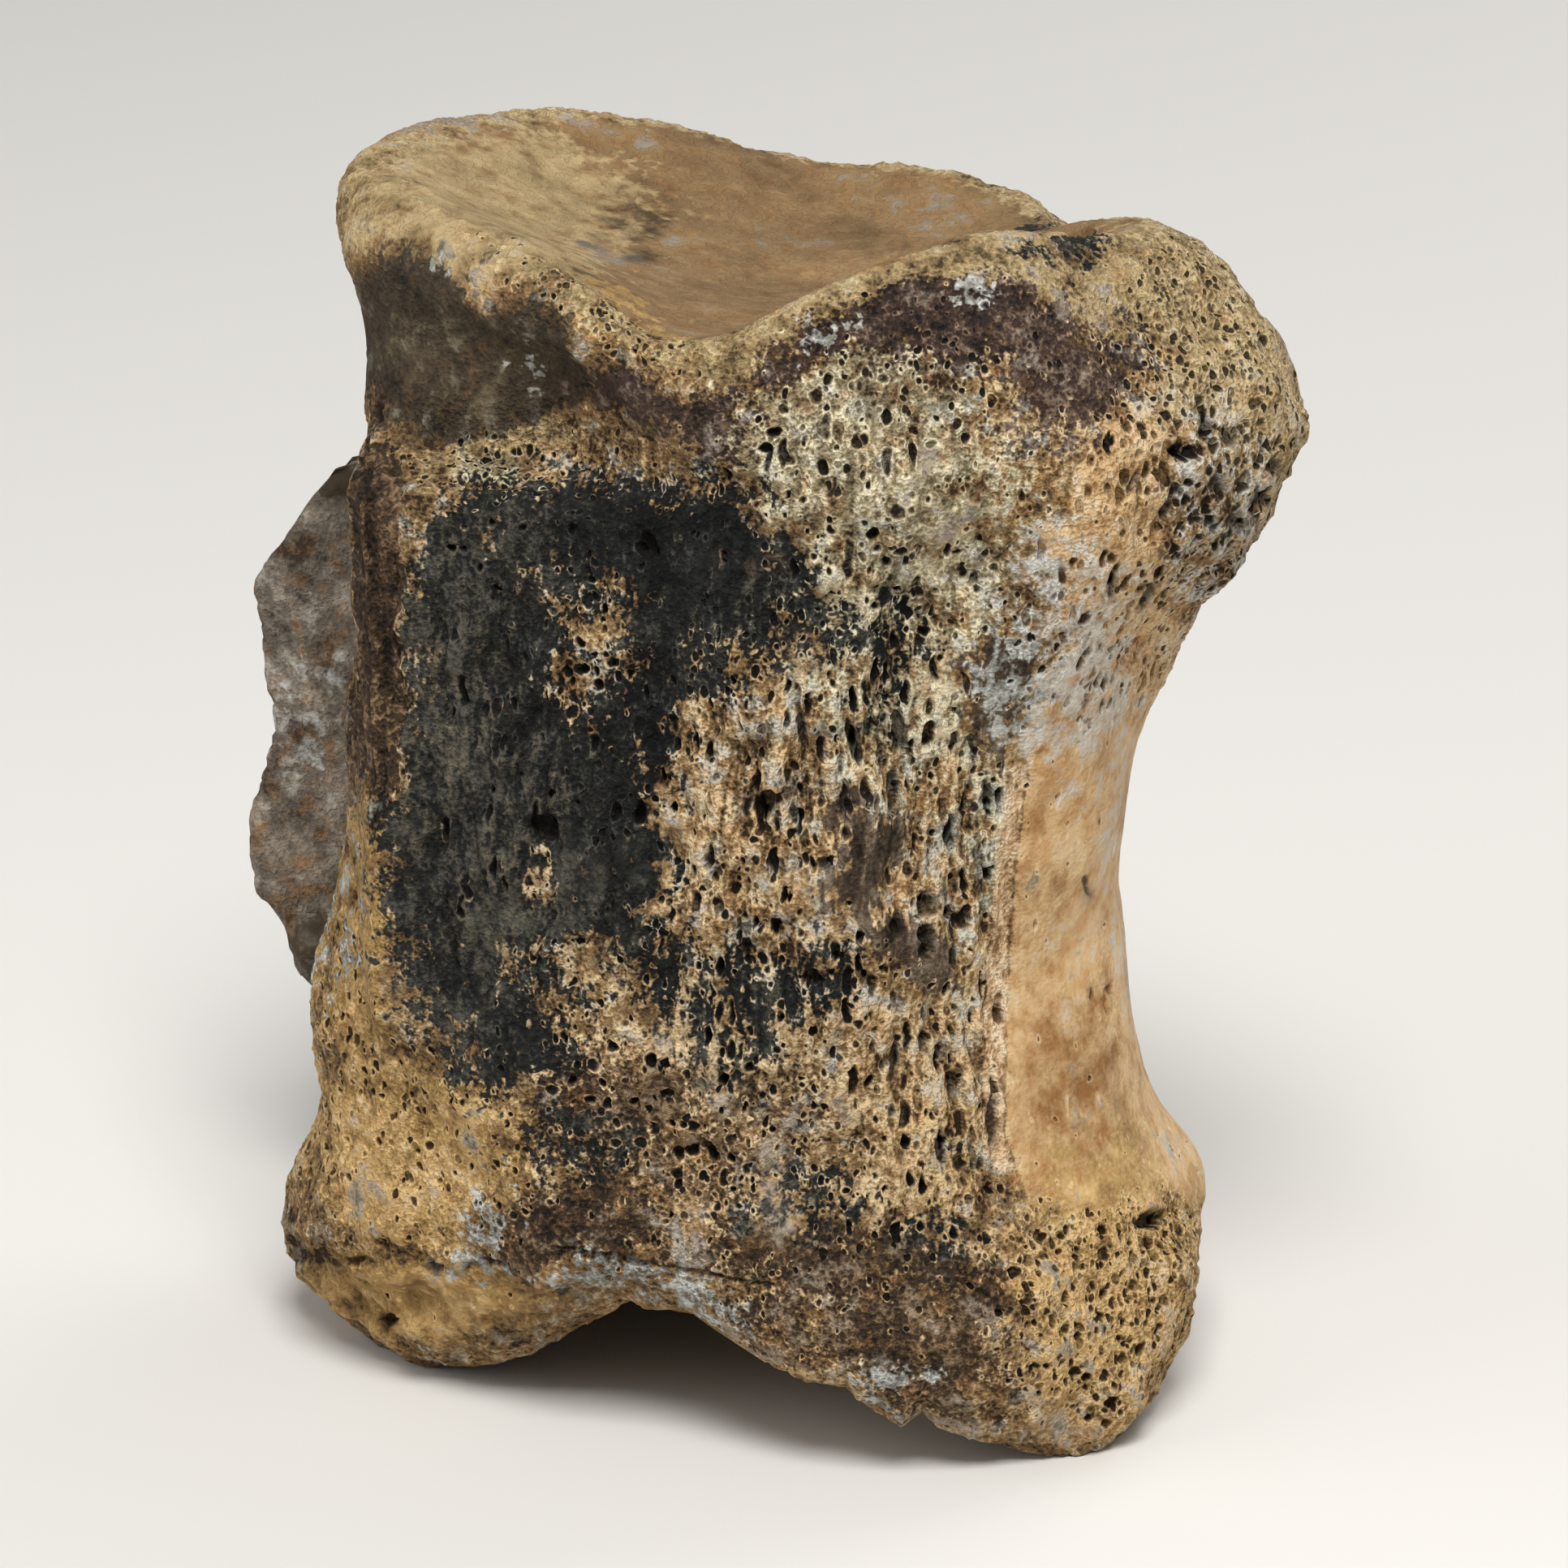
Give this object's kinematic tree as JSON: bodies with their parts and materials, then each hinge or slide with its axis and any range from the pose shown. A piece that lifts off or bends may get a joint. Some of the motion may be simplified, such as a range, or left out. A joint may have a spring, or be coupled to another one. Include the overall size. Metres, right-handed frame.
{
  "type": "fossil dinosaur vertebra",
  "caption": "Weathered dinosaur tail vertebra: spool-shaped centrum with hollowed ends, a broken process base of open spongy bone and a stub of the neural arch.",
  "frame": {"origin": "on the surface it stands on, under the centre of its box", "axes": "+Z along the centrum, up; +X towards the belly side; -Y towards the side with the large fresh break"},
  "size_m": [0.071, 0.0488, 0.0746],
  "materials": {
    "fossil_bone": "dull, pitted mineralised bone"
  },
  "bodies": {
    "root": {"vertebra": "fossil_bone"}
  },
  "joints": []
}
